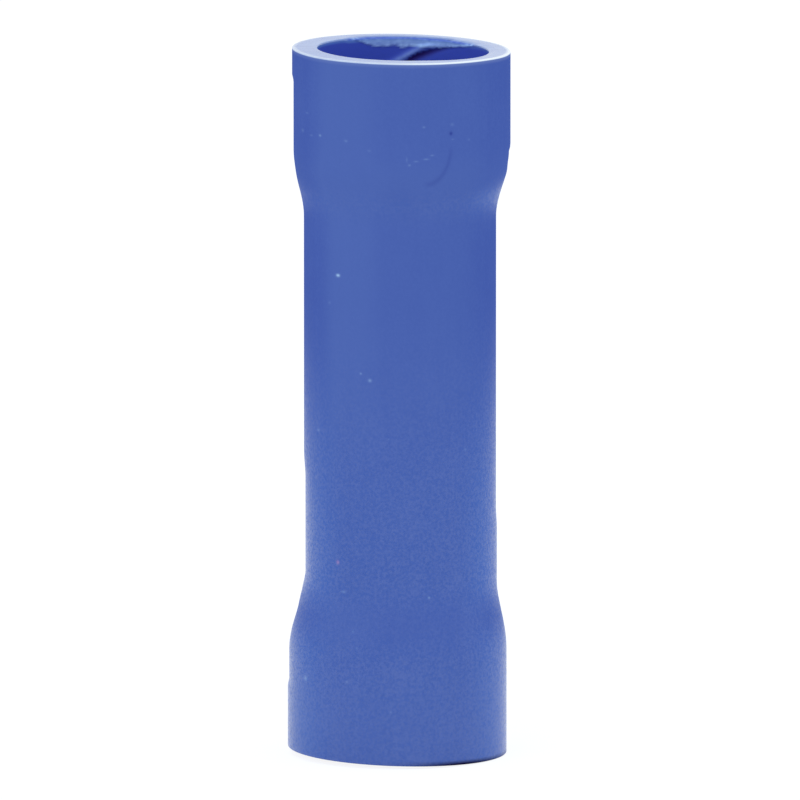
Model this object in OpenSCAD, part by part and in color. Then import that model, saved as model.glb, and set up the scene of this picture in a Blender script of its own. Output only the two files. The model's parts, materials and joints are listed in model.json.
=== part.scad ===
// Insulated butt splice connector: a soft vinyl sleeve with belled ends, drawn tightly over a
// tinned copper barrel. One stripped wire enters each mouth, meets the stop rolled into the middle
// of the barrel, and is crimped there through the sleeve.
// Millimetres. The connector stands on its lower mouth, with its axis on Z.

/* [Barrel] */
// Bore that takes the bare conductor
bore_d = 2.4; // [1.6:0.1:3.6]
// Copper wall round the bore
barrel_wall = 0.9; // [0.7:0.05:1.2]
// Length of the barrel
barrel_length = 15; // [12:0.5:20]
// Countersink at each end of the bore, which gathers the strands
lead_in = 0.3; // [0.1:0.05:0.4]
// Break on the outer edges of the barrel's ends
barrel_edge = 0.15; // [0.05:0.05:0.25]

/* [Wire stop] */
// How far the rolled stop stands into the bore
stop_depth = 0.6; // [0.3:0.05:0.7]
// Width of the stop's level crest
stop_crest = 0.4; // [0.2:0.1:1.0]
// Length of the slope on each side of the crest
stop_ramp = 1.0; // [0.8:0.1:1.6]

/* [Sleeve] */
// Vinyl wall over the barrel
sleeve_wall = 1.27; // [1.0:0.05:1.6]
// How far the bells stand out from the sleeve's waist
bell_flare = 0.47; // [0.2:0.05:0.8]
// Vinyl wall at the mouths, thinned by the belling
rim_wall = 0.83; // [0.6:0.05:1.1]
// Straight length of each bell, seen from outside
bell_length = 3.5; // [2.5:0.1:4.5]
// Length of the shoulder between bell and waist
shoulder_length = 2.7; // [1.8:0.1:3.6]
// Straight depth of each mouth, which takes the wire's insulation
mouth_depth = 3.0; // [2.0:0.1:4.0]
// Length of the funnel from mouth to barrel
funnel_length = 2.0; // [1.2:0.1:3.0]
// Angle by which the sheared ends are off square, in degrees
cut_slant = 1.7; // [0:0.1:4]
// Break on the edges of the sheared ends
rim_break = 0.12; // [0.04:0.02:0.24]

/* [Fit] */
// Gap between barrel and sleeve
sleeve_gap = 0.01; // [0:0.01:0.05]

/* [Hidden] */
$fn = 128;

vinyl_blue = "#4C65B0";
tinned_copper = "#C6C8C9";

bore_r = bore_d / 2;
barrel_r = bore_r + barrel_wall;
sleeve_bore_r = barrel_r + sleeve_gap;
waist_r = sleeve_bore_r + sleeve_wall;
bell_r = waist_r + bell_flare;
mouth_r = bell_r - rim_wall;

sleeve_length = barrel_length + 2 * (funnel_length + mouth_depth);
waist_half = sleeve_length / 2 - bell_length - shoulder_length;
// The sheared foot is lowest at its flat rim's +X edge, which lies on Z = 0
foot_lift = (bell_r - rim_break) * sin(cut_slant);
middle_z = foot_lift + sleeve_length / 2;
// Length added to what is cut, or to what cuts, so that no two faces coincide
spare = 1;
// Straight steps that stand for each curved slope
slope_steps = 16;

// One side of a spindle's section, from its middle up: a level stretch of radius mid_r, a slope out
// to end_r along half a cosine wave, and a straight end up to reach
function spindle_side(mid_r, end_r, mid_half, slope, reach) = [
    for (step = [0:slope_steps])
        let (t = step / slope_steps)
        [mid_r + (end_r - mid_r) * (1 - cos(180 * t)) / 2, mid_half + slope * t],
    [end_r, reach]
];

// Half section of a spindle about Y, the same above and below X
module spindle(mid_r, end_r, mid_half, slope, reach) {
    upper = spindle_side(mid_r, end_r, mid_half, slope, reach);
    lower = [for (i = [len(upper) - 1:-1:0]) [upper[i].x, -upper[i].y]];
    polygon([[0, -reach], each lower, each upper, [0, reach]]);
}

// Section of the countersink and of the broken outer edge at both ends of the barrel
module barrel_end_breaks() {
    end_y = barrel_length / 2;
    for (side = [0, 1]) mirror([0, side]) {
        polygon([
            [bore_r - spare / 2, end_y - lead_in - spare / 2],
            [bore_r + lead_in + spare / 2, end_y + spare / 2],
            [bore_r - spare / 2, end_y + spare / 2]
        ]);
        polygon([
            [barrel_r + spare / 2, end_y - barrel_edge - spare / 2],
            [barrel_r + spare / 2, end_y + spare / 2],
            [barrel_r - barrel_edge - spare / 2, end_y + spare / 2]
        ]);
    }
}

// Drawn copper tube with a groove rolled in round its middle, which raises the stop in the bore
module crimp_barrel() {
    color(tinned_copper) translate([0, 0, middle_z]) rotate_extrude() difference() {
        spindle(barrel_r - stop_depth, barrel_r, stop_crest / 2, stop_ramp, barrel_length / 2);
        spindle(bore_r - stop_depth, bore_r, stop_crest / 2, stop_ramp, barrel_length / 2 + spare);
        barrel_end_breaks();
    }
}

// What the shears take from one end of the sleeve: all above a level cut at Z = 0, with both
// edges of the rim broken at 45 degrees
module sheared_off() {
    rotate_extrude() polygon([
        [0, -rim_break - spare],
        [mouth_r - spare, -rim_break - spare],
        [mouth_r + rim_break, 0],
        [bell_r - rim_break, 0],
        [bell_r + spare, -rim_break - spare],
        [bell_r + spare, 2 * spare],
        [0, 2 * spare]
    ]);
}

// Vinyl tube, belled inside and out at both ends and sheared off at a slight slant
module insulation_sleeve() {
    reach = sleeve_length / 2 + spare;
    color(vinyl_blue) translate([0, 0, middle_z]) difference() {
        rotate_extrude() difference() {
            spindle(waist_r, bell_r, waist_half, shoulder_length, reach);
            spindle(sleeve_bore_r, mouth_r, barrel_length / 2, funnel_length, reach + spare);
        }
        for (turn = [0, 180])
            translate([0, 0, sleeve_length / 2 * cos(turn)]) rotate([0, cut_slant + turn, 0]) sheared_off();
    }
}

insulation_sleeve();
crimp_barrel();
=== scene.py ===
"""Dresses an insulated butt splice connector: a blue vinyl sleeve with belled, sheared ends over a
tinned copper barrel, standing on a pale floor."""

import json
import math

import bpy
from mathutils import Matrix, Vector


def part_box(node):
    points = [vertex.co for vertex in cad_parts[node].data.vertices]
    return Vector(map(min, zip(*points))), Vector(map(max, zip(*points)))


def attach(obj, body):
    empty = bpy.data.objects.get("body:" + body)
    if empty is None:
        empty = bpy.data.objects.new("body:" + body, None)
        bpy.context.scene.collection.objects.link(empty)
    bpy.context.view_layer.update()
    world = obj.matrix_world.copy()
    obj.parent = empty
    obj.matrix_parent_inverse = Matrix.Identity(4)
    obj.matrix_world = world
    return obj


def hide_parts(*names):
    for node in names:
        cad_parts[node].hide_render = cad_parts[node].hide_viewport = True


bl_info = {
    "name": "Butt splice connector",
    "version": (1, 0, 0),
    "blender": (4, 5, 0),
    "location": "3D View > Sidebar > Splice",
    "description": "Makes the vinyl sleeve, the tin-plated barrel and the studio",
    "category": "Object",
}

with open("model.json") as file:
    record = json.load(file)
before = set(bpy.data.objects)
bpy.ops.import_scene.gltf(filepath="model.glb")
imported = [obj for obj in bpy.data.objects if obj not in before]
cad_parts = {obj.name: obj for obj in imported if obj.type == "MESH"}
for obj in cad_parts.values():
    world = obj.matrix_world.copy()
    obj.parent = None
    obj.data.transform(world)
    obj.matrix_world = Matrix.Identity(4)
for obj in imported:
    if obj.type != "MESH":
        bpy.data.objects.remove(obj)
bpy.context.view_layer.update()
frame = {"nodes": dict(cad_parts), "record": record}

MM = 0.001
MOUNTS = {mount["name"]: mount for mount in frame["record"]["mounts"]}
BARREL_LOW, BARREL_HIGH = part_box("crimp_barrel")

# Driving sizes that the frame gives, in metres
BELL_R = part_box("insulation_sleeve")[1].x
BARREL_R = BARREL_HIGH.x
MOUTH_R = MOUNTS["upper_mouth"]["dims"]["r_mm"] * MM
MIDDLE_Z = (BARREL_LOW.z + BARREL_HIGH.z) / 2
FOOT_Z = MOUNTS["foot"]["pos_m"][2]
SLANT = math.asin(-MOUNTS["foot"]["axis"][0])
LENGTH = 2 * (MIDDLE_Z - FOOT_Z)


class Link:
    """A socket of a node tree. Python's operators on it add Math nodes to that tree."""

    # Sockets of a Mix node that mixes colours
    MIX_SHARE, MIX_LOW, MIX_HIGH, MIX_RESULT = 0, 6, 7, 2
    BUMP_DISTANCE = 0.02 * MM

    def __init__(self, tree, socket=None):
        self.tree = tree
        self.socket = socket

    def node(self, kind, settings=None, inputs=None, output=0):
        """Adds a node with these settings, feeds its inputs and returns one of its outputs."""
        made = self.tree.nodes.new(kind)
        for name, value in (settings or {}).items():
            setattr(made, name, value)
        for key, value in (inputs or {}).items():
            if isinstance(value, Link):
                self.tree.links.new(value.socket, made.inputs[key])
            else:
                made.inputs[key].default_value = value
        return Link(self.tree, made.outputs[output])

    def math(self, operation, *others, clamp=False):
        """One Math node on this value and the others, which are links or plain numbers."""
        settings = {"operation": operation, "use_clamp": clamp}
        return self.node("ShaderNodeMath", settings, dict(enumerate((self, *others))))

    def __add__(self, other):
        return self.math("ADD", other)

    def __mul__(self, other):
        return self.math("MULTIPLY", other)

    def __sub__(self, other):
        return self.math("SUBTRACT", other)

    def __truediv__(self, other):
        return self.math("DIVIDE", other)

    def __neg__(self):
        return self.math("MULTIPLY", -1.0)

    def __rsub__(self, other):
        return -self + other

    __radd__ = __add__
    __rmul__ = __mul__

    def clamped(self):
        """The value, held between 0 and 1."""
        return self.math("ADD", 0.0, clamp=True)

    def root(self):
        """The value's square root."""
        return self.math("SQRT")

    def sin(self):
        """The sine of the value, an angle."""
        return self.math("SINE")

    def cos(self):
        """The cosine of the value, an angle."""
        return self.math("COSINE")

    def wave(self):
        """From 0 to 1 along half a cosine wave as the value goes from 0 to 1."""
        return (1.0 - (self.clamped() * math.pi).cos()) * 0.5

    def fading(self):
        """The exponential of the value's negative: 1 at 0, and small beyond 2."""
        return (-self).math("EXPONENT")

    def hump(self, width):
        """A bell curve: 1 where the value is 0, and small beyond the width."""
        share = self / width
        return (share * share).fading()

    def over(self, edge, width):
        """0 below the edge and 1 above it, with a soft step of that width."""
        return ((self - edge) / width + 0.5).wave()

    def under(self, edge, width):
        """1 below the edge and 0 above it, with a soft step of that width."""
        return 1.0 - self.over(edge, width)

    def at_least(self, least):
        """A value from 0 to 1, squeezed to run from the least one to 1."""
        return least + self * (1.0 - least)

    def xyz(self):
        """The three parts of a vector."""
        parts = self.node("ShaderNodeSeparateXYZ", inputs={0: self})
        return [Link(self.tree, socket) for socket in parts.socket.node.outputs]

    def scaled(self, factor):
        """A vector, made longer by a factor."""
        inputs = {0: self, "Scale": factor}
        return self.node("ShaderNodeVectorMath", {"operation": "SCALE"}, inputs)

    def stretched(self, *factors):
        """A vector, each part of which is multiplied by a factor of its own."""
        return self.node("ShaderNodeVectorMath", {"operation": "MULTIPLY"}, {0: self, 1: factors})

    def noise(self, scale, detail):
        """Cloudy noise round 0.5 at the places that this vector gives."""
        inputs = {"Vector": self, "Scale": scale, "Detail": detail}
        return self.node("ShaderNodeTexNoise", inputs=inputs)

    def mixed(self, low, high):
        """A colour between two others, where the value is the share of the second."""
        inputs = {self.MIX_SHARE: self, self.MIX_LOW: low, self.MIX_HIGH: high}
        return self.node("ShaderNodeMix", {"data_type": "RGBA"}, inputs, self.MIX_RESULT)

    def bumped(self, strength):
        """The normal of a surface that has the value as its relief."""
        inputs = {"Strength": strength, "Distance": self.BUMP_DISTANCE, "Height": self}
        return self.node("ShaderNodeBump", inputs=inputs)


# The sRGB curve: the end and the slope of its straight start, and its offset and power beyond
SRGB_KNEE, SRGB_SLOPE, SRGB_OFFSET, SRGB_POWER = 0.04045, 12.92, 0.055, 2.4
FULL_LEVEL = 255
WHITE = (1.0, 1.0, 1.0, 1.0)


def linear(colour):
    """A written sRGB colour as the linear one that a shader's socket takes."""
    parts = [
        part / SRGB_SLOPE if part <= SRGB_KNEE
        else ((part + SRGB_OFFSET) / (1.0 + SRGB_OFFSET)) ** SRGB_POWER
        for part in colour[:3]
    ]
    return (*parts, 1.0)


def length_property(name, description, millimetres):
    """A size in metres, written in millimetres."""
    return bpy.props.FloatProperty(
        name=name, description=description, default=millimetres * MM,
        subtype="DISTANCE", unit="LENGTH", precision=5,
    )


def colour_property(name, description, *levels):
    """A colour, written as sRGB levels of red, green and blue from 0 to 255."""
    return bpy.props.FloatVectorProperty(
        name=name, description=description, default=[level / FULL_LEVEL for level in levels],
        subtype="COLOR_GAMMA", min=0.0, max=1.0, size=3,
    )


class SleeveSizes(bpy.types.PropertyGroup):
    """Sizes of the vinyl sleeve that aren't given by the barrel, the mouths and the foot."""

    flare: length_property("Flare", "How far the bells stand out from the waist", 0.46)
    bell_length: length_property("Bell length", "Straight length of each bell", 3.57)
    upper_shoulder: length_property(
        "Upper shoulder", "Length of the slope from upper bell to waist", 2.4)
    lower_shoulder: length_property(
        "Lower shoulder", "Length of the slope from lower bell to waist", 2.8)
    mouth_depth: length_property("Mouth depth", "Straight depth of each mouth", 3.0)
    funnel: length_property("Funnel", "Length of the slope from mouth to barrel", 2.0)
    edge: length_property("Edge", "Radius of the worn edges of the sheared rims", 0.055)
    gap: length_property("Gap", "Gap between sleeve and barrel", 0.01)


class SleeveFlaws(bpy.types.PropertyGroup):
    """How far the soft sleeve strays from its true form."""

    upper_lean: length_property("Upper lean", "How far the upper bell lies off the axis", 0.046)
    lower_lean: length_property("Lower lean", "How far the lower bell lies off the axis", -0.1)
    swell: length_property(
        "Swell", "How much wider in radius the lower bell is than the upper", 0.018)
    mouth_lean: length_property("Mouth lean", "How far the upper mouth lies off its bell", 0.06)
    dent: length_property("Dent", "Depth of the flat dents pressed into the sides", 0.05)
    strand: length_property("Strand", "Height of the strand on the back of the upper mouth", 0.1)
    sink: length_property("Sink", "How much lower the right of the upper mouth's edge lies", 0.035)
    lip: length_property("Lip", "Height of the torn lip below the upper rim", 0.03)
    fold: length_property("Fold", "Depth of the fold under the torn lip", 0.08)
    tear: length_property("Tear", "Depth of the torn patch on the upper rim", 0.045)


class VinylFinish(bpy.types.PropertyGroup):
    """Colours of the vinyl."""

    body: colour_property("Body", "The vinyl's own blue where it is dull", 67, 91, 170)
    # Painted sheen: a lighter copy of the dull vinyl, on its front and back, stands in for light
    rubbed: colour_property("Rubbed", "The dull vinyl where handling has rubbed it", 76, 101, 175)
    polished: colour_property("Polished", "The vinyl under its polish", 57, 90, 172)
    # Painted reflection: the bluer polished vinyl on the two sides stands in for the bluish
    # reflection along the edges
    deep: colour_property("Deep", "The vinyl under its polish on the two sides", 50, 94, 181)
    streak: colour_property(
        "Streak", "The blue of the faint streaks left by drawing", 81, 107, 181)
    # Painted shade: this deeper blue inside the mouths stands in for the shade there
    inner: colour_property("Inner", "The deeper blue inside the mouths", 66, 87, 192)
    scuff: colour_property("Scuff", "Where the vinyl is scratched and pressed", 46, 62, 146)
    dust: colour_property("Dust", "Pale specks of dust", 156, 192, 234)
    fibre: colour_property("Fibre", "The reddish speck on the waist", 160, 130, 190)
    # Painted light: the paler band just inside the upper mouth's edge
    brim: colour_property("Brim", "The rubbed edge inside the upper mouth", 90, 125, 205)
    # Partly painted light: the sheared faces are paler than the vinyl, as if in strong light from
    # above
    cut: colour_property("Cut", "The paler faces left by the shears", 126, 158, 217)
    # Painted highlight: the near-white line along the upper rim's rounded outer edge
    worn: colour_property("Worn", "The worn outer edge of the upper rim", 232, 245, 255)
    # Partly painted light: the torn vinyl is paler where light falls on the lip and the strand
    torn: colour_property("Torn", "The torn lip and the strand in the upper mouth", 160, 198, 250)
    # Painted shadow: the dark colour of the fold under the lip
    fold: colour_property("Fold", "The dark fold under the torn lip", 48, 30, 104)
    # Painted shadow: the dark contact line along the foot
    grime: colour_property("Grime", "The dark line along the foot", 20, 16, 54)


class TinFinish(bpy.types.PropertyGroup):
    """Colours of the tin plate on the barrel."""

    bright: colour_property("Bright", "The plate where it is bright", 214, 214, 212)
    dull: colour_property("Dull", "The plate where it is dull", 176, 177, 178)


class StudioSettings(bpy.types.PropertyGroup):
    """The camera and the floor."""

    elevation: bpy.props.FloatProperty(
        name="Elevation", description="Angle of the view above level",
        default=math.radians(8.7), subtype="ANGLE", unit="ROTATION",
    )
    view_width: length_property("View width", "Width of the view at the connector", 28.245)
    aim_height: length_property("Aim height", "Height on the axis that the camera aims at", 12.587)
    floor_width: length_property("Floor width", "Width of the floor", 3000)


def new_piece(name, mesh):
    """An object of that mesh in the scene, at the origin."""
    piece = bpy.data.objects.new(name, mesh)
    bpy.context.scene.collection.objects.link(piece)
    return piece


def new_material(name):
    """An empty material, and a link to start its nodes from."""
    material = bpy.data.materials.new(name)
    material.use_nodes = True
    material.node_tree.nodes.clear()
    return material, Link(material.node_tree)


def finish_material(material, shader):
    """Joins a shader to the material's output."""
    output = material.node_tree.nodes.new("ShaderNodeOutputMaterial")
    material.node_tree.links.new(shader.socket, output.inputs["Surface"])
    return material


# Values kept on the sleeve's points, each named for the colour that it brings; most of these
# colours are painted light and shade
KEPT_VALUES = ("brim", "cut", "worn", "torn", "fold", "grime")

# The vinyl's finish, in millimetres. Here and in the flaws below, a step is the place where a
# value changes and the width over which it does so
# Radius between the inside and the outside of the sleeve
WALL_MIDDLE, WALL_SOFTNESS = 3.2, 0.1
FRONT_STEP = (-0.5, 0.5)

# Marks on the front of the sleeve: x and height, half width and half height, strength
PRESSED_DOT = (1.79, 22.58, 0.06, 0.07, 0.8)
FIBRE = (-2.19, 7.2, 0.05, 0.07, 0.6)
PALE_FLECKS = [
    (-2.81, 22.39, 0.04, 0.04, 0.3), (-3.12, 22.34, 0.05, 0.03, 0.1),
    (-1.9, 22.3, 0.06, 0.04, 0.14), (0.84, 22.85, 0.05, 0.04, 0.15),
    (2.42, 22.31, 0.04, 0.04, 0.08), (0.24, 21.7, 0.03, 0.08, 0.1),
    (0.33, 21.51, 0.05, 0.04, 0.16), (0.56, 21.64, 0.08, 0.03, 0.14),
    (0.92, 21.71, 0.09, 0.03, 0.18), (1.13, 21.84, 0.06, 0.03, 0.16),
    (-2.18, 17.42, 0.06, 0.05, 0.95), (-1.38, 14.0, 0.04, 0.04, 0.24),
    (-1.06, 13.77, 0.06, 0.06, 0.32), (-2.48, 16.41, 0.05, 0.05, 0.08),
    (-1.99, 6.17, 0.07, 0.04, 0.2), (1.02, 6.04, 0.04, 0.04, 0.26),
    (-3.33, 2.98, 0.06, 0.08, 0.28), (-1.66, 4.84, 0.04, 0.05, 0.1),
    (-1.52, 4.28, 0.04, 0.04, 0.1), (-1.87, 3.06, 0.05, 0.04, 0.1),
    (-0.32, 2.05, 0.04, 0.04, 0.1), (2.3, 11.2, 0.05, 0.05, 0.1),
    (-2.87, 11.8, 0.05, 0.05, 0.14), (1.83, 22.9, 0.06, 0.05, 0.1),
    (1.85, 22.37, 0.05, 0.03, 0.1), (-3.27, 23.1, 0.05, 0.03, 0.1),
    (-3.42, 22.44, 0.04, 0.06, 0.12), (-1.08, 22.0, 0.06, 0.04, 0.08),
]
# The scratch, a quarter of an ellipse, with the steps at its ends as shares of the radii
SCRATCH_CENTRE, SCRATCH_RADII = (0.92, 22.14), (0.87, 1.35)
SCRATCH_WIDTH, SCRATCH_STRENGTH = 0.075, 0.25
SCRATCH_ACROSS, SCRATCH_UP = (0.0, 0.4), (-0.1, 0.3)
# Dust: cells for each millimetre, the size of a speck in its cell, and the chance of one
DUST_CELLS, DUST_SIZE, DUST_CHANCE = 0.9, (0.035, 0.03), (0.6, 0.2)
DUST_STRENGTH, DUST_LOSS_IN_FRONT = 0.3, 0.18

# Noise: scale and detail, and its stretch along X, Y and Z where it runs out into lines
STREAKS, STREAK_STRETCH = (3.0, 5.0), (1.0, 1.0, 0.03)
SHEARING, SHEAR_STRETCH = (4.0, 4.0), (0.15, 1.0, 1.0)
MOTTLE, GRAIN = (0.5, 3.0), (10.0, 3.0)
NOISE_MIDDLE = 0.5
NOISE_STEP = (NOISE_MIDDLE, 0.35)

# Heights between which handling has turned the dull vinyl to polished
DULL_ABOVE, POLISHED_BELOW = 17.0, 7.0
# The shoulders' own polish: height, reach, and what it loses or gains
LOWER_SHOULDER, LOWER_REACH, LOWER_LOSS = 5.1, 0.8, 0.6
UPPER_SHOULDER, UPPER_REACH, UPPER_GAIN, GAIN_TO_RIGHT = 20.0, 0.5, 0.46, 0.06
# Painted sheen, lighter on the front and the back and darker towards the sides, by how far to the
# right a place lies, as a share of the radius, and in a ring on the upper bell
SHEEN_LEFT, SHEEN_MIDDLE, SHEEN_RIGHT = (-0.77, 0.25), (-0.25, 0.4), (0.75, 0.4)
SHEEN_LOSS = 0.45
RING_HEIGHT, RING_REACH, RING_GAIN = 20.9, 0.8, 0.4
# Where the painted bluish reflection comes in on the two sides, by the square of the share of the
# radius
SIDE_REFLECTION_STEP = (0.55, 0.6)
# Shares of the noises in the streaks' shade
STREAK_SHADE, MOTTLE_SHADE, GRAIN_SHADE = 0.2, 0.35, 0.45
SHADE_STEP, SHADE_STRENGTH, SHEAR_STRENGTH = (0.55, 0.4), 0.4, 0.35
# Heights in the relief
STREAK_RELIEF, GRAIN_RELIEF, SHEAR_RELIEF = 0.3, 0.35, 0.8
PRESSED_RELIEF, FLECK_RELIEF = 1.6, 0.6
VINYL_BUMP = 0.1
# Gloss of the dull and the polished vinyl, with more of it near the foot and in the grain
DULL_GLOSS, POLISHED_GLOSS, FOOT_GLOSS, GRAIN_GLOSS = 0.02, 0.5, 0.17, 0.5
FOOT_STEP = (3.0, 4.0)
VINYL_ROUGHNESS, GRAIN_ROUGHNESS = 0.46, 0.12
COAT_ROUGHNESS, COAT_IOR = 0.22, 1.5


def spot(x, z, mark):
    """The mark's strength in its middle and 0 away from it."""
    mark_x, mark_z, half_width, half_height, strength = mark
    aside = (x - mark_x) / half_width
    above = (z - mark_z) / half_height
    return (aside * aside + above * above).fading() * strength


def scratch_on(x, z):
    """1 along a quarter of an ellipse and 0 away from it."""
    aside = (x - SCRATCH_CENTRE[0]) / SCRATCH_RADII[0]
    above = (z - SCRATCH_CENTRE[1]) / SCRATCH_RADII[1]
    ring = (aside * aside + above * above).root() - 1.0
    return ring.hump(SCRATCH_WIDTH) * aside.over(*SCRATCH_ACROSS) * above.under(*SCRATCH_UP)


def dust_on(place):
    """Sparse tiny specks all over: 1 in a speck and 0 elsewhere."""
    cells = place.node("ShaderNodeTexVoronoi", inputs={"Vector": place, "Scale": DUST_CELLS})
    nearness = cells.under(*DUST_SIZE)
    chance = Link(place.tree, cells.socket.node.outputs["Color"]).xyz()[0]
    return nearness * chance.over(*DUST_CHANCE)


def polish_on(x, z):
    """How far handling has polished the vinyl: less on the lower shoulder, more on the upper."""
    polish = z.under((DULL_ABOVE + POLISHED_BELOW) / 2, DULL_ABOVE - POLISHED_BELOW)
    polish = polish * (1.0 - (z - LOWER_SHOULDER).hump(LOWER_REACH) * LOWER_LOSS)
    gain = UPPER_GAIN + x * GAIN_TO_RIGHT
    return polish + (z - UPPER_SHOULDER).hump(UPPER_REACH) * gain


def painted_sheen_on(aside, z):
    """How much painted sheen the dull vinyl takes: on the front and the back, and less on the
    sides, with a ring of it on the upper bell.
    """
    sheen = aside.over(*SHEEN_LEFT) * (1.0 - aside.over(*SHEEN_MIDDLE) * SHEEN_LOSS)
    sheen = sheen * aside.under(*SHEEN_RIGHT)
    return sheen + (z - RING_HEIGHT).hump(RING_REACH) * RING_GAIN


def vinyl_material(finish):
    """Blue vinyl, dull above and polished below, with streaks and marks, sheared rims painted
    paler as if in light, and painted sheen, highlight, reflection and shadows.
    """
    material, start = new_material("blue_vinyl")
    place = start.node("ShaderNodeTexCoord", output="Object").scaled(1 / MM)
    x, y, z = place.xyz()
    kept = {
        name: start.node("ShaderNodeAttribute", {"attribute_name": name}, output="Fac")
        for name in KEPT_VALUES
    }
    radius = (x * x + y * y).root()
    aside = x / radius
    outside = radius.over(WALL_MIDDLE, WALL_SOFTNESS)
    front = y.under(*FRONT_STEP) * outside
    streaks = place.stretched(*STREAK_STRETCH).noise(*STREAKS)
    mottle = place.noise(*MOTTLE)
    grain = place.noise(*GRAIN)
    sparkle = grain.over(*NOISE_STEP)
    shearing = place.stretched(*SHEAR_STRETCH).noise(*SHEARING).over(*NOISE_STEP) * kept["cut"]

    polish = (polish_on(x, z) * outside).clamped()
    # The dull vinyl, with painted sheen on its front and back
    dull = painted_sheen_on(aside, z).mixed(linear(finish.body), linear(finish.rubbed))
    # The polished vinyl, with a painted bluish reflection on the two sides
    deep = (aside * aside).over(*SIDE_REFLECTION_STEP).mixed(linear(finish.polished), linear(finish.deep))
    colour = polish.mixed(dull, deep)
    shade = streaks * STREAK_SHADE + mottle * MOTTLE_SHADE + grain * GRAIN_SHADE
    shade = shade.over(*SHADE_STEP) * SHADE_STRENGTH
    colour = shade.mixed(colour, linear(finish.streak))
    # Inside the mouths, a bluer colour painted for the shade there
    colour = outside.mixed(linear(finish.inner), colour)

    pressed = (scratch_on(x, z) * SCRATCH_STRENGTH + spot(x, z, PRESSED_DOT)) * front
    flecks = dust_on(place) * (DUST_STRENGTH - front * DUST_LOSS_IN_FRONT)
    for mark in PALE_FLECKS:
        flecks = flecks + spot(x, z, mark) * front
    flecks = flecks.clamped() * outside
    colour = pressed.mixed(colour, linear(finish.scuff))
    colour = flecks.mixed(colour, linear(finish.dust))
    colour = (spot(x, z, FIBRE) * front).mixed(colour, linear(finish.fibre))
    # These colours paint light and shade: light inside the upper mouth's edge, paler sheared
    # faces, the rim's highlight, light on the torn vinyl, and the shadows of the fold and along
    # the foot
    for name in KEPT_VALUES:
        colour = kept[name].mixed(colour, linear(getattr(finish, name)))
    shorn = shearing * SHEAR_STRENGTH * (1.0 - kept["worn"])
    colour = shorn.mixed(colour, linear(finish.streak))

    relief = streaks * STREAK_RELIEF + grain * GRAIN_RELIEF - pressed * PRESSED_RELIEF
    relief = relief + flecks * FLECK_RELIEF - shearing * SHEAR_RELIEF
    gloss = POLISHED_GLOSS + z.under(*FOOT_STEP) * FOOT_GLOSS + sparkle * GRAIN_GLOSS
    gloss = DULL_GLOSS + polish * gloss * (1.0 - kept["grime"]) + kept["cut"]
    shader = start.node(
        "ShaderNodeBsdfPrincipled",
        inputs={
            "Base Color": colour,
            "Roughness": VINYL_ROUGHNESS + grain * GRAIN_ROUGHNESS,
            "Normal": relief.bumped(VINYL_BUMP),
            "Specular IOR Level": 0.0,
            "Coat Weight": gloss.clamped(),
            "Coat Roughness": COAT_ROUGHNESS,
            "Coat IOR": COAT_IOR,
        },
    )
    return finish_material(material, shader)


# The tin plate's finish: scale, detail and stretch of its noise, and heights in its relief
DRAWING_LINES, LINE_STRETCH = (7.0, 4.0), (1.0, 1.0, 0.04)
PATCHES, PATCH_STEP = (1.4, 3.0), (NOISE_MIDDLE, 0.4)
LINE_RELIEF, PATCH_RELIEF, PLATE_BUMP = 0.6, 0.4, 0.15
PLATE_ROUGHNESS, LINE_ROUGHNESS = 0.22, 0.16


def tin_material(finish):
    """Bright tin plate with drawing lines along the barrel and duller patches."""
    material, start = new_material("tin_plate")
    place = start.node("ShaderNodeTexCoord", output="Object").scaled(1 / MM)
    lines = place.stretched(*LINE_STRETCH).noise(*DRAWING_LINES)
    patches = place.noise(*PATCHES)
    colour = patches.over(*PATCH_STEP).mixed(linear(finish.bright), linear(finish.dull))
    relief = lines * LINE_RELIEF + patches * PATCH_RELIEF
    shader = start.node(
        "ShaderNodeBsdfPrincipled",
        inputs={
            "Base Color": colour,
            "Roughness": PLATE_ROUGHNESS + lines * LINE_ROUGHNESS,
            "Normal": relief.bumped(PLATE_BUMP),
            "Metallic": 1.0,
        },
    )
    return finish_material(material, shader)


# The sleeve's flaws, in metres. Depths are measured down from the upper rim
# Scale and detail of the noise in torn edges and on torn faces
RAGGED, FRAYED = (2.2 / MM, 3.0), (6.0 / MM, 2.0)
BACK_STEP, FRONT_HALF = (0.5 * MM, MM), (0.0, MM)
# Each dent: its share of the full depth, below 0 where the side bulges; its side on X; and the
# steps at its lower and upper end, as heights above the foot
DENTS = (
    (1.0, -1.0, (20.6 * MM, 1.0 * MM), (23.9 * MM, 0.08 * MM)),
    (1.0, 1.0, (20.8 * MM, 0.5 * MM), (21.5 * MM, 0.15 * MM)),
    (1.0, -1.0, (6.1 * MM, 0.6 * MM), (10.2 * MM, 1.0 * MM)),
    (1.0, -1.0, (2.3 * MM, 0.25 * MM), (5.2 * MM, 0.8 * MM)),
    (-0.7, 1.0, (6.0 * MM, 0.9 * MM), (8.3 * MM, 0.9 * MM)),
)
DENT_SIDE, DENT_SPREAD = (0.0, MM), 1.3 * MM
# The strand: its place at the rim, its run to the left for its depth, and its widths
STRAND_PLACE, STRAND_RUN = 1.3 * MM, 1.78
STRAND_LEFT, STRAND_RIGHT = 0.2 * MM, 0.34 * MM
STRAND_TOP, STRAND_FOOT = (0.2 * MM, 0.16 * MM), (1.1 * MM, 0.5 * MM)
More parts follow.
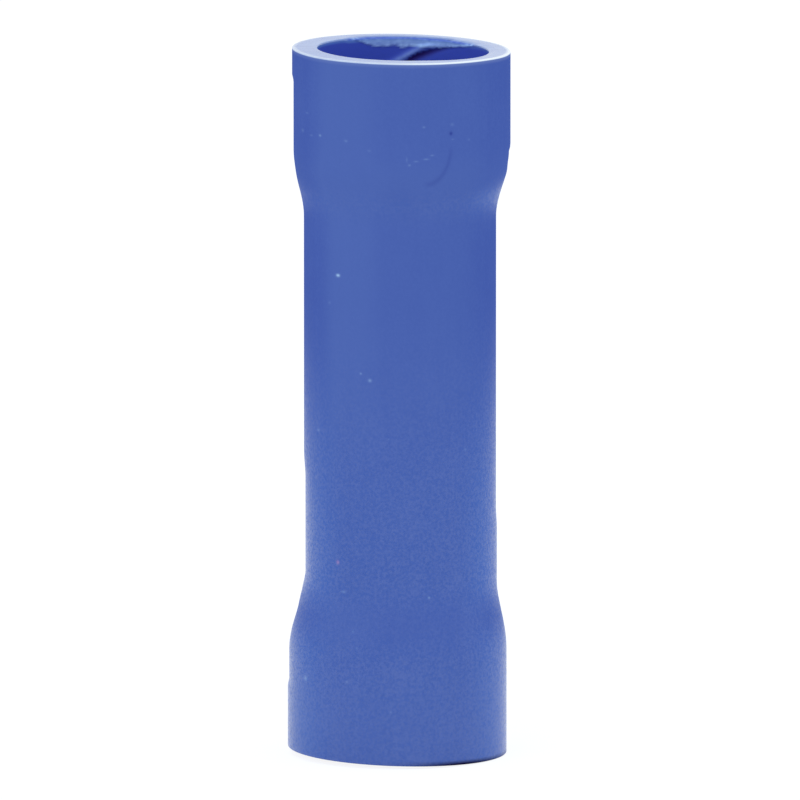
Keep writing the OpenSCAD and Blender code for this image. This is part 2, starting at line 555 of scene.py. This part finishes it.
# The torn lip, the hem along its edge, and the tear in the rim above it
LIP_LEFT, LIP_RIGHT, LIP_SMOOTH = (-1.4 * MM, 0.9 * MM), (1.95 * MM, 2.0 * MM), (MM, MM)
LIP_DEPTH, LIP_RAGGED, LIP_SOFTNESS = 0.34 * MM, 0.2 * MM, 0.06 * MM
HEM_WIDTH = 0.04 * MM
TEAR_LEFT, TEAR_RIGHT = (-1.8 * MM, 0.8 * MM), (2.2 * MM, 1.4 * MM)
TEAR_DEPTH = (0.2 * MM, 0.2 * MM)
TEAR_WIDTH, TEAR_LEAST_WIDTH, TEAR_SOFTNESS, TEAR_START = 0.21 * MM, 0.5, 0.1 * MM, 4.0
TEAR_LEAST_SINK, TEAR_UNEVENNESS = 0.4, 1.2
# The fold, a curved leaf, which is a groove with a painted shadow in it
FOLD_LEFT, FOLD_WIDTH, FOLD_BEND = 0.2 * MM, 1.7 * MM, 0.55
FOLD_LOW, FOLD_RISE = 0.8 * MM, 0.6 * MM
FOLD_THIN, FOLD_THICK, FOLD_SOFTNESS = 0.05 * MM, 0.24 * MM, 1.4
FOLD_START, FOLD_END = (0.1 * MM, 0.3 * MM), (1.35 * MM, 1.6 * MM)
FOLD_SHADOW = 0.95
# Painted light on the edge just inside the upper mouth, which is less on the right, where the
# mouth's edge sinks
BRIM_START, BRIM_END = (0.03 * MM, 0.04 * MM), (0.13 * MM, 0.1 * MM)
BRIM_AT_EDGE, BRIM_LOSS = 0.35, 0.5
MOUTH_RIGHT, SINK_DEPTH = (1.5 * MM, 2.0 * MM), (MM, MM)
# The sheared faces, painted paler as if in light, as shares of the rounded edges' radius
CUT_INSIDE, CUT_LESS_OUTSIDE, CUT_SOFTNESS = 1.1, 0.3, 0.6
FOOT_CUT, FOOT_CUT_SOFTNESS = 0.15, 0.2
# The painted highlight on the upper rim's outer edge: its reach as a share of the rounded edges'
# radius, and its steps in metres
HIGHLIGHT_REACH = 1.4
HIGHLIGHT_STEP, HIGHLIGHT_LEAST = (0.0, 4.0 * MM), 0.55
HIGHLIGHT_RIGHT, HIGHLIGHT_GAIN = (2.5 * MM, 3.0 * MM), 0.15
# How pale the torn vinyl is on the lip, its hem, the strand and the tear, painted paler where
# light falls on it
LIP_PALE, LIP_AT_RIM, LIP_STEP = 0.15, 0.1, (0.06 * MM, 0.1 * MM)
HEM_PALE, HEM_STEP = 0.7, (NOISE_MIDDLE, 0.2)
STRAND_PALE, STRAND_FRAYED, STRAND_LOSS_UNDER_LIP = 0.12, 0.45, 0.7
TEAR_PALE, TEAR_STEP = 0.2, (0.55, 0.3)
# The painted contact shadow along the foot: its place, reach and step
FOOT_SHADOW_X, FOOT_SHADOW_REACH, FOOT_SHADOW_STEP = 2.3 * MM, 1.6 * MM, (0.11 * MM, 0.11 * MM)
# How far the slant reaches from an end, the upper end's share of it, and that share's loss at
# the front
SLANT_STEP = (3.0 * MM, 2.0 * MM)
UPPER_SLANT, NEAR_SLANT_LOSS, NEAR_STEP = 0.67, 0.35, (-2.0 * MM, 2.0 * MM)


class FlawedSurface:
    """The points of the true sleeve: which flaws each lies in, and what they do to it."""

    def __init__(self, sleeve):
        self.sleeve = sleeve
        self.value = sleeve.value
        position = sleeve.start.node("GeometryNodeInputPosition")
        self.x, self.y, self.z = position.xyz()
        self.ragged = position.noise(*RAGGED)
        self.frayed = position.noise(*FRAYED)
        self.radius = (self.x * self.x + self.y * self.y).root()
        self.depth = self.value["Length"] - self.z
        self.upper = sleeve.upper(self.z)
        self.outside = self.radius.over(WALL_MIDDLE * MM, WALL_SOFTNESS * MM)
        self.inside = 1.0 - self.outside

        behind = self.upper * self.y.over(*BACK_STEP)
        back = self.inside * behind
        lip_edge = self.find_lip_edge()
        self.dents = self.find_dents() * self.outside
        self.strand = self.find_strand() * back
        self.lip = self.depth.under(lip_edge, LIP_SOFTNESS) * back
        self.hem = (self.depth - lip_edge + HEM_WIDTH).hump(HEM_WIDTH) * back
        self.fold = self.find_fold() * back
        self.tear = self.find_tear() * behind
        self.cut = self.find_cut() * (1.0 - self.tear)

    def find_dents(self):
        """Flat dents along both sides, where the soft sleeve was pressed."""
        pressed = 0.0
        for share, side, low, high in DENTS:
            dent = self.z.over(*low) * self.z.under(*high) * (self.x * side).over(*DENT_SIDE)
            pressed = dent * share + pressed
        return pressed * self.y.hump(DENT_SPREAD)

    def find_strand(self):
        """A strand of vinyl that runs down to the left, steeper on its left side."""
        aside = self.x - (STRAND_PLACE - self.depth * STRAND_RUN)
        width = STRAND_LEFT + (STRAND_RIGHT - STRAND_LEFT) * aside.over(0.0, STRAND_RIGHT)
        return aside.hump(width) * self.depth.over(*STRAND_TOP) * self.depth.under(*STRAND_FOOT)

    def find_lip_edge(self):
        """Depth of the torn lip's ragged lower edge, which rises to the rim at both ends."""
        span = self.x.over(*LIP_LEFT) * self.x.under(*LIP_RIGHT)
        raggedness = (self.ragged - NOISE_MIDDLE) * LIP_RAGGED * self.x.under(*LIP_SMOOTH)
        return span * (LIP_DEPTH + raggedness)

    def find_tear(self):
        """The torn patch on the rim above the lip: a ragged crescent along the mouth's edge."""
        span = self.x.over(*TEAR_LEFT) * self.x.under(*TEAR_RIGHT)
        edge = self.value["Mouth radius"] + span * (TEAR_LEAST_WIDTH + self.ragged) * TEAR_WIDTH
        return self.radius.under(edge, TEAR_SOFTNESS) * (span * TEAR_START).clamped()

    def find_fold(self):
        """The fold under the lip, right of the strand: a curved leaf that thins to the right,
        painted dark as shadow.
        """
        along = ((self.x - FOLD_LEFT) / FOLD_WIDTH).clamped()
        below = self.depth - (FOLD_LOW - along.math("POWER", FOLD_BEND) * FOLD_RISE)
        thickness = FOLD_THIN + (1.0 - along) * FOLD_THICK
        leaf = below.over(0.0, FOLD_THIN) * below.under(thickness, thickness * FOLD_SOFTNESS)
        return leaf * self.x.over(*FOLD_START) * self.x.under(*FOLD_END)

    def find_cut(self):
        """The upper rim's sheared face, painted paler as if in light, which reaches further over
        the inner edge.
        """
        edge = self.value["Edge"]
        reach = edge * (CUT_INSIDE - self.outside * CUT_LESS_OUTSIDE)
        return self.depth.under(reach, edge * CUT_SOFTNESS)

    def brim(self):
        """Painted light on the edge just inside the upper mouth."""
        rubbed = self.depth.over(*BRIM_START).at_least(BRIM_AT_EDGE)
        rubbed = self.depth.under(*BRIM_END) * rubbed
        return rubbed * (1.0 - self.x.over(*MOUTH_RIGHT) * BRIM_LOSS) * self.inside

    def wear(self):
        """A painted highlight on the upper rim's rounded outer edge, strongest on the right."""
        edge = self.value["Edge"]
        rubbed = self.x.over(*HIGHLIGHT_STEP).at_least(HIGHLIGHT_LEAST)
        worn = self.radius.over(self.value["Bell radius"] - edge * HIGHLIGHT_REACH, edge) * rubbed
        return worn + self.x.over(*HIGHLIGHT_RIGHT) * HIGHLIGHT_GAIN

    def paleness(self):
        """How pale the torn lip, its hem, the strand and the tear are: torn vinyl painted paler
        where light falls on it.
        """
        edge = self.value["Edge"]
        lip = self.lip * (LIP_PALE + self.frayed)
        lip = lip * self.depth.over(*LIP_STEP).at_least(LIP_AT_RIM)
        hem = self.hem * self.frayed.over(*HEM_STEP) * HEM_PALE
        strand = self.strand * (STRAND_PALE + self.frayed * STRAND_FRAYED)
        strand = strand * (1.0 - self.lip * STRAND_LOSS_UNDER_LIP)
        tear = self.tear * self.frayed.over(*TEAR_STEP) * self.depth.under(edge, edge) * TEAR_PALE
        return lip + hem + strand + tear

    def grime(self):
        """A painted contact shadow: the dark line along the front of the foot."""
        line = self.z.under(*FOOT_SHADOW_STEP) * (self.x - FOOT_SHADOW_X).hump(FOOT_SHADOW_REACH)
        return line * self.y.under(*FRONT_HALF) * self.outside

    def colours(self):
        """The values to keep on the points for the vinyl's colours."""
        edge = self.value["Edge"]
        return {
            "brim": self.brim(),
            "cut": self.cut + self.z.under(edge * FOOT_CUT, edge * FOOT_CUT_SOFTNESS),
            "worn": self.cut * self.wear(),
            "torn": self.paleness(),
            "fold": self.fold * FOLD_SHADOW,
            "grime": self.grime(),
        }

    def drop(self):
        """How far the slanted ends, the tear and the mouth's sunk edge lie below the true form."""
        v = self.value
        near = 1.0 - self.y.under(*NEAR_STEP) * NEAR_SLANT_LOSS
        slope = v["Slant"].math("TANGENT") * (1.0 - self.upper * (1.0 - UPPER_SLANT * near))
        slant = self.x * slope * self.sleeve.from_end(self.z).under(*SLANT_STEP)
        torn = v["Tear"] * self.tear * (TEAR_LEAST_SINK + self.ragged * TEAR_UNEVENNESS)
        torn = torn * self.depth.under(*TEAR_DEPTH)
        sunk = v["Sink"] * self.x.over(*MOUTH_RIGHT) * self.inside * self.depth.under(*SINK_DEPTH)
        return slant + torn + sunk

    def place(self):
        """Where the points come to lie: leaned, slanted, dented and torn."""
        v = self.value
        pushed = self.radius - self.dents * v["Dent"] - self.strand * v["Strand"]
        pushed = pushed - self.lip * v["Lip"] + self.fold * v["Fold"]
        scale = pushed / self.radius
        bell = 1.0 - self.sleeve.narrowing(self.z)
        lean = v["Upper lean"] * self.upper + v["Lower lean"] * (1.0 - self.upper)
        shift = (lean + v["Mouth lean"] * self.inside * self.upper) * bell
        return self.x * scale + shift, self.y * scale, self.z - self.drop() + v["Foot"]


class SleeveTree:
    """The Geometry Nodes tree that revolves the sleeve's section and works its flaws into it."""

    COUNTS = {"Around": 260, "Outer rings": 190, "Inner rings": 140, "Rim rings": 19}
    SOCKETS = {
        float: "NodeSocketFloat", int: "NodeSocketInt", bpy.types.Material: "NodeSocketMaterial",
    }
    GRID_SIZE = 1.0
    # An edge, a flat and a second edge
    RIM_PARTS = 3.0
    MERGE_DISTANCE = 0.0002 * MM

    def __init__(self, values):
        self.values = values
        self.tree = bpy.data.node_groups.new("belled_sleeve", "GeometryNodeTree")
        face = self.tree.interface
        face.new_socket("Geometry", in_out="OUTPUT", socket_type="NodeSocketGeometry")
        for name, value in values.items():
            face.new_socket(name, in_out="INPUT", socket_type=self.SOCKETS[type(value)])
        self.start = Link(self.tree)
        entry = self.start.node("NodeGroupInput").socket.node
        self.value = {
            socket.name: Link(self.tree, socket) for socket in entry.outputs if socket.name
        }
        self.build()

    def from_end(self, height):
        """Distance to the nearer end of the sleeve."""
        return height.math("MINIMUM", self.value["Length"] - height)

    def upper(self, height):
        """1 above the middle and 0 below it."""
        return height.over(LENGTH / 2, MM)

    def narrowing(self, height):
        """0 on the bells and 1 on the waist."""
        v = self.value
        change = v["Upper shoulder"] - v["Lower shoulder"]
        shoulder = v["Lower shoulder"] + change * self.upper(height)
        return ((self.from_end(height) - v["Bell length"]) / shoulder).wave()

    def outer_radius(self, height):
        """Radius of the outside at a height: bell, shoulder or waist."""
        v = self.value
        narrowing = self.narrowing(height)
        swell = v["Swell"] * (1.0 - self.upper(height)) * (1.0 - narrowing)
        return v["Bell radius"] - v["Flare"] * narrowing + swell

    def inner_radius(self, height):
        """Radius of the inside at a height: mouth, funnel or bore."""
        v = self.value
        share = (self.from_end(height) - v["Mouth depth"]) / v["Funnel"]
        depth = v["Mouth radius"] - v["Barrel radius"] - v["Gap"]
        return v["Mouth radius"] - depth * share.wave()

    def moved(self, shape, x, y, z):
        """The shape with its points set to that place."""
        place = self.start.node("ShaderNodeCombineXYZ", inputs={0: x, 1: y, 2: z})
        inputs = {"Geometry": shape, "Position": place}
        return self.start.node("GeometryNodeSetPosition", inputs=inputs)

    def band(self, rings, section):
        """A grid wrapped round the axis. The section gives radius and height for a share of it."""
        inputs = {
            "Size X": self.GRID_SIZE, "Size Y": self.GRID_SIZE,
            "Vertices X": self.value["Around"] + 1.0, "Vertices Y": rings,
        }
        grid = self.start.node("GeometryNodeMeshGrid", inputs=inputs)
        across, along, _ = self.start.node("GeometryNodeInputPosition").xyz()
        turn = (across + self.GRID_SIZE / 2) * (2 * math.pi)
        radius, height = section(along + self.GRID_SIZE / 2)
        return self.moved(grid, radius * turn.cos(), radius * turn.sin(), height)

    def outer_wall(self, share):
        """Runs up from the lower rim's edge to the upper one's."""
        v = self.value
        height = v["Edge"] + (v["Length"] - v["Edge"] * 2.0) * share
        return self.outer_radius(height), height

    def inner_wall(self, share):
        """Runs down from the upper mouth, with its rings closest near the mouths."""
        v = self.value
        height = v["Edge"] + (v["Length"] - v["Edge"] * 2.0) * (1.0 - share.wave())
        return self.inner_radius(height), height

    def upper_rim(self, share):
        """Runs from the outer wall to the inner one."""
        return self.rim_section(share, self.value["Bell radius"])

    def lower_rim(self, share):
        """The upper rim turned over, run from the inner wall to the outer one."""
        outer = self.value["Bell radius"] + self.value["Swell"]
        radius, height = self.rim_section(1.0 - share, outer)
        return radius, self.value["Length"] - height

    def rim_section(self, share, outer):
        """A rounded edge, a flat face and a second edge on an upper rim of that outer radius."""
        v = self.value
        quarter = math.pi / 2
        part = share * self.RIM_PARTS
        first = part.clamped() * quarter
        flat = (part - 1.0).clamped()
        last = (part - 2.0).clamped() * quarter
        width = outer - v["Mouth radius"] - v["Edge"] * 2.0
        radius = outer - v["Edge"] * (1.0 - first.cos()) - width * flat - v["Edge"] * last.sin()
        rise = v["Edge"] * (first.sin() - (1.0 - last.cos()))
        return radius, v["Length"] - v["Edge"] + rise

    def kept(self, shape, name, value):
        """Keeps a value on the points, for the vinyl's colour."""
        return self.start.node(
            "GeometryNodeStoreNamedAttribute", {"data_type": "FLOAT", "domain": "POINT"},
            {"Geometry": shape, "Name": name, "Value": value.clamped()},
        )

    def worked(self, shape):
        """The shape with the flaws worked in and the values for its colours kept."""
        surface = FlawedSurface(self)
        colours = surface.colours()
        for name in KEPT_VALUES:
            shape = self.kept(shape, name, colours[name])
        return self.moved(shape, *surface.place())

    def build(self):
        """Joins the four bands to a closed shape and works the flaws into it."""
        v = self.value
        bands = [
            self.band(v["Outer rings"], self.outer_wall),
            self.band(v["Rim rings"], self.upper_rim),
            self.band(v["Inner rings"], self.inner_wall),
            self.band(v["Rim rings"], self.lower_rim),
        ]
        joined = self.tree.nodes.new("GeometryNodeJoinGeometry")
        for band in bands:
            self.tree.links.new(band.socket, joined.inputs[0])
        inputs = {
            "Geometry": Link(self.tree, joined.outputs[0]), "Distance": self.MERGE_DISTANCE,
        }
        shape = self.worked(self.start.node("GeometryNodeMergeByDistance", inputs=inputs))
        shape = self.start.node("GeometryNodeSetShadeSmooth", inputs={"Geometry": shape})
        shape = self.start.node("GeometryNodeRealizeInstances", inputs={"Geometry": shape})
        inputs = {"Geometry": shape, "Material": v["Material"]}
        shape = self.start.node("GeometryNodeSetMaterial", inputs=inputs)
        output = self.tree.nodes.new("NodeGroupOutput")
        self.tree.links.new(shape.socket, output.inputs[0])

    def applied(self, name):
        """A plain mesh object of the tree's result."""
        carrier = new_piece(name + "_carrier", bpy.data.meshes.new(name + "_carrier"))
        modifier = carrier.modifiers.new("section", "NODES")
        modifier.node_group = self.tree
        for item in self.tree.interface.items_tree:
            if item.in_out == "INPUT":
                modifier[item.identifier] = self.values[item.name]
        evaluated = carrier.evaluated_get(bpy.context.evaluated_depsgraph_get())
        mesh = bpy.data.meshes.new_from_object(evaluated)
        mesh.name = name
        carrier.modifiers.remove(modifier)
        bpy.data.objects.remove(carrier)
        if not mesh.polygons:
            raise RuntimeError(name + " came out empty")
        return new_piece(name, mesh)


def named_values(group):
    """A group's values under their fields' names in plain words, such as Bell length."""
    return {
        field.replace("_", " ").capitalize(): getattr(group, field)
        for field in group.__annotations__
    }


class SPLICE_OT_sleeve(bpy.types.Operator):
    """Makes the vinyl sleeve over the barrel"""

    bl_idname = "splice.sleeve"
    bl_label = "Vinyl sleeve"

    def execute(self, context):
        scene = context.scene
        # The slanted foot's lowest point, at its flat's +X edge, stands on the floor
        foot = (BELL_R + scene.splice_flaws.swell - scene.splice_sleeve.edge) * math.tan(SLANT)
        values = {
            "Length": LENGTH, "Foot": foot, "Slant": SLANT, "Bell radius": BELL_R,
            "Mouth radius": MOUTH_R, "Barrel radius": BARREL_R,
            **named_values(scene.splice_sleeve), **named_values(scene.splice_flaws),
            **SleeveTree.COUNTS, "Material": vinyl_material(scene.splice_vinyl),
        }
        sleeve = SleeveTree(values).applied("vinyl_sleeve")
        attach(sleeve, "root")
        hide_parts("insulation_sleeve")
        return {"FINISHED"}


class SPLICE_OT_barrel(bpy.types.Operator):
    """Plates the copper barrel with tin"""

    bl_idname = "splice.barrel"
    bl_label = "Tin-plated barrel"

    def execute(self, context):
        barrel = frame["nodes"]["crimp_barrel"]
        barrel.data.materials.clear()
        barrel.data.materials.append(tin_material(context.scene.splice_tin))
        return {"FINISHED"}


# The floor's white for light that spreads, and its tone and glow where it is seen
FLOOR_SPREAD = (0.95, 0.95, 0.95, 1.0)
FLOOR_TONE = (0.14, 0.17, 0.21, 1.0)
FLOOR_GLOW = 0.89


def seen_directly(start):
    """1 for rays from the camera, from gloss and through glass, and 0 for light that spreads."""
    paths = start.node("ShaderNodeLightPath").socket.node.outputs
    names = ("Is Camera Ray", "Is Glossy Ray", "Is Transmission Ray")
    camera, glossy, through = [Link(start.tree, paths[name]) for name in names]
    return (camera + glossy + through).clamped()


def floor_material():
    """Plain white floor, which keeps a faint shadow of the connector where it is seen."""
    material, start = new_material("white_floor")
    spreading = start.node("ShaderNodeBsdfDiffuse", inputs={"Color": FLOOR_SPREAD})
    shadowed = start.node("ShaderNodeBsdfDiffuse", inputs={"Color": FLOOR_TONE})
    glowing = start.node("ShaderNodeEmission", inputs={"Color": WHITE, "Strength": FLOOR_GLOW})
    shown = start.node("ShaderNodeAddShader", inputs={0: shadowed, 1: glowing})
    shader = start.node(
        "ShaderNodeMixShader", inputs={0: seen_directly(start), 1: spreading, 2: shown})
    return finish_material(material, shader)


class SPLICE_OT_studio(bpy.types.Operator):
    """Sets the floor, the light and the camera"""

    bl_idname = "splice.studio"
    bl_label = "Studio"

    # Strength of the sky as light, and where it is seen
    SKY_LIGHT, SKY_SEEN = 0.9, 1.0
    # Each lamp: its place and size in metres, its power in watts and its colour
    LAMPS = {
        "key_box": ((-0.3, -0.42, 0.62), 0.4, 0.9, (1.0, 1.0, 1.0)),
        "cool_box": ((0.6, 0.05, 0.25), 0.4, 0.35, (0.7, 0.88, 1.0)),
    }
    # Focal length and width of the sensor, in millimetres
    LENS, SENSOR = 1200.0, 36.0
    # Shares of the camera's distance between which it sees
    CLIP_START, CLIP_END = 0.1, 10.0

    def execute(self, context):
        studio = context.scene.splice_studio
        half = studio.floor_width / 2
        corners = [(-half, -half, 0), (half, -half, 0), (half, half, 0), (-half, half, 0)]
        mesh = bpy.data.meshes.new("floor")
        mesh.from_pydata(corners, [], [(0, 1, 2, 3)])
        mesh.materials.append(floor_material())
        new_piece("floor", mesh)
        self.light_world(context)
        for name, lamp in self.LAMPS.items():
            self.add_lamp(context, name, *lamp)
        self.add_camera(context, studio)
        context.scene.view_settings.view_transform = "Standard"
        return {"FINISHED"}

    def light_world(self, context):
        """An even white sky."""
        world = bpy.data.worlds.new("studio")
        world.use_nodes = True
        start = Link(world.node_tree)
        sky = world.node_tree.nodes["Background"]
        sky.inputs["Color"].default_value = WHITE
        level = self.SKY_LIGHT + seen_directly(start) * (self.SKY_SEEN - self.SKY_LIGHT)
        world.node_tree.links.new(level.socket, sky.inputs["Strength"])
        context.scene.world = world

    def add_lamp(self, context, name, place, size, power, colour):
        """A square soft box that faces the connector's middle."""
        lamp = bpy.data.lights.new(name, "AREA")
        lamp.size = size
        lamp.energy = power
        lamp.color = colour
        holder = bpy.data.objects.new(name, lamp)
        holder.location = place
        towards = Vector((0, 0, MIDDLE_Z)) - holder.location
        holder.rotation_euler = towards.to_track_quat("-Z", "Y").to_euler()
        context.scene.collection.objects.link(holder)

    def add_camera(self, context, studio):
        """A long lens, far off, that sees the connector nearly without perspective."""
        camera = bpy.data.cameras.new("camera")
        camera.lens = self.LENS
        camera.sensor_width = self.SENSOR
        distance = studio.view_width * camera.lens / camera.sensor_width
        camera.clip_start = distance * self.CLIP_START
        camera.clip_end = distance * self.CLIP_END
        holder = bpy.data.objects.new("camera", camera)
        back = Vector((0, -math.cos(studio.elevation), math.sin(studio.elevation)))
        holder.location = Vector((0, 0, studio.aim_height)) + back * distance
        holder.rotation_euler = (-back).to_track_quat("-Z", "Y").to_euler()
        context.scene.collection.objects.link(holder)
        context.scene.camera = holder


class SPLICE_PT_panel(bpy.types.Panel):
    """Lists the pieces of the connector and their sizes"""

    bl_idname = "SPLICE_PT_panel"
    bl_label = "Butt splice connector"
    bl_space_type = "VIEW_3D"
    bl_region_type = "UI"
    bl_category = "Splice"

    def draw(self, context):
        for operator in OPERATORS:
            self.layout.operator(operator.bl_idname)
        for name, group in SETTINGS.items():
            box = self.layout.box()
            for field in group.__annotations__:
                box.prop(getattr(context.scene, name), field)


SETTINGS = {
    "splice_sleeve": SleeveSizes,
    "splice_flaws": SleeveFlaws,
    "splice_vinyl": VinylFinish,
    "splice_tin": TinFinish,
    "splice_studio": StudioSettings,
}
OPERATORS = (SPLICE_OT_sleeve, SPLICE_OT_barrel, SPLICE_OT_studio)
CLASSES = (*SETTINGS.values(), *OPERATORS, SPLICE_PT_panel)


def register():
    """Registers the classes and puts their settings on the scene."""
    for cls in CLASSES:
        bpy.utils.register_class(cls)
    for name, group in SETTINGS.items():
        setattr(bpy.types.Scene, name, bpy.props.PointerProperty(type=group))


def unregister():
    """Takes the settings off the scene and unregisters the classes."""
    for name in SETTINGS:
        delattr(bpy.types.Scene, name)
    for cls in reversed(CLASSES):
        bpy.utils.unregister_class(cls)


def main():
    """Makes the pieces and the studio."""
    register()
    bpy.ops.splice.sleeve()
    bpy.ops.splice.barrel()
    bpy.ops.splice.studio()


if __name__ == "__main__":
    main()
